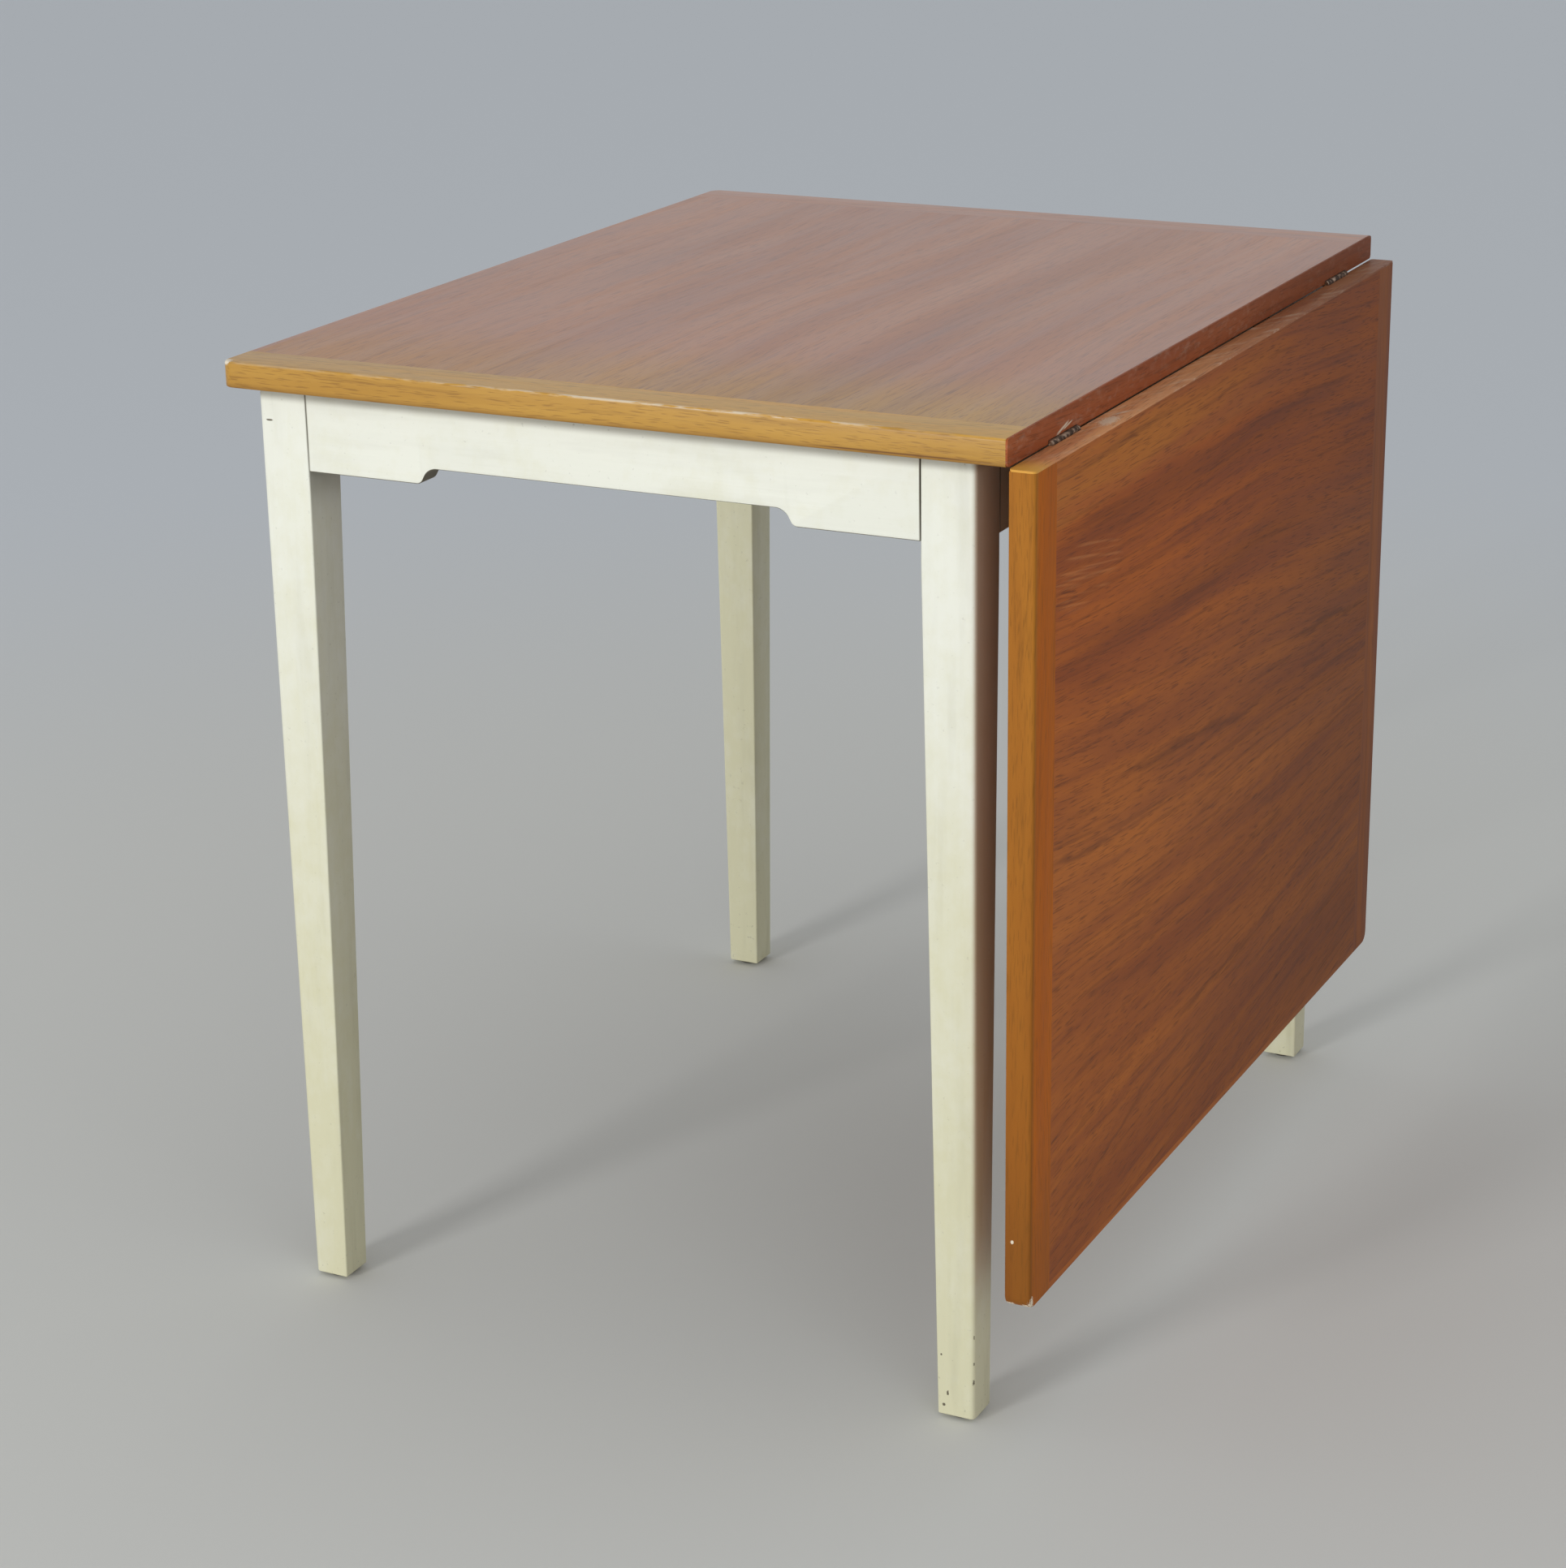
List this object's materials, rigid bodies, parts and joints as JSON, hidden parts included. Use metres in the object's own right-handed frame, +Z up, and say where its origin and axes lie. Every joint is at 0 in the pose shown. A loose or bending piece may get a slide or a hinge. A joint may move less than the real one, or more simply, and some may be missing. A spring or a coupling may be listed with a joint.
{
  "type": "drop-leaf table",
  "caption": "Kitchen table with a veneered, solid-lipped top on a painted frame of tapered legs and shaped aprons, and a leaf hanging on butt hinges that swings up level.",
  "frame": {"origin": "on the floor, in the middle of the table's box in plan with the leaf hanging", "axes": "+X towards the hanging leaf, +Y towards the rear, +Z up"},
  "size_m": [0.6318, 0.766, 0.73],
  "materials": {
    "teak_veneer": "worn satin oil",
    "teak_lipping": "worn satin oil",
    "teak_edging": "worn satin oil",
    "board_core": "raw",
    "cream_paint": "satin paint",
    "raw_beech": "raw",
    "hinge_steel": "dull plated",
    "glide_plastic": "matt"
  },
  "bodies": {
    "table": {"apron_front": "cream_paint", "apron_left": "cream_paint", "apron_rear": "cream_paint", "apron_right": "cream_paint", "bearer_front_guide": "raw_beech", "bearer_guide_screws": "hinge_steel", "bearer_rear_guide": "raw_beech", "corner_block_front_left": "raw_beech", "corner_block_front_right": "raw_beech", "corner_block_rear_left": "raw_beech", "corner_block_rear_right": "raw_beech", "corner_block_screws": "hinge_steel", "glide_front_left": "glide_plastic", "glide_front_right": "glide_plastic", "glide_rear_left": "glide_plastic", "glide_rear_right": "glide_plastic", "hinge_front_pin": "hinge_steel", "hinge_front_top_plate": "hinge_steel", "hinge_rear_pin": "hinge_steel", "hinge_rear_top_plate": "hinge_steel", "hinge_top_screws": "hinge_steel", "leg_front_left": "cream_paint", "leg_front_right": "cream_paint", "leg_rear_left": "cream_paint", "leg_rear_right": "cream_paint", "top_backing_veneer": "teak_veneer", "top_core": "board_core", "top_face_veneer": "teak_veneer", "top_fixing_screws": "hinge_steel", "top_front_lipping": "teak_lipping", "top_hinge_edging": "teak_edging", "top_left_edging": "teak_edging", "top_rear_lipping": "teak_lipping"},
    "leaf": {"hinge_front_leaf_plate": "hinge_steel", "hinge_leaf_screws": "hinge_steel", "hinge_rear_leaf_plate": "hinge_steel", "leaf_backing_veneer": "teak_veneer", "leaf_core": "board_core", "leaf_face_veneer": "teak_veneer", "leaf_free_edging": "teak_edging", "leaf_front_lipping": "teak_lipping", "leaf_hinge_edging": "teak_edging", "leaf_rear_lipping": "teak_lipping"},
    "front_bearer": {"bearer_front": "raw_beech", "bearer_front_stop_peg": "raw_beech"},
    "rear_bearer": {"bearer_rear": "raw_beech", "bearer_rear_stop_peg": "raw_beech"}
  },
  "joints": [
    {"name": "leaf_hinge", "type": "hinge", "parent": "table", "child": "leaf", "pos_m": [0.2964, 0, 0.7105], "axis": [0, -1, 0], "range_deg": [0, 90]},
    {"name": "front_bearer_slide", "type": "slide", "parent": "table", "child": "front_bearer", "axis": [1, 0, 0], "range_m": [0, 0.028]},
    {"name": "rear_bearer_slide", "type": "slide", "parent": "table", "child": "rear_bearer", "axis": [1, 0, 0], "range_m": [0, 0.028]}
  ]
}
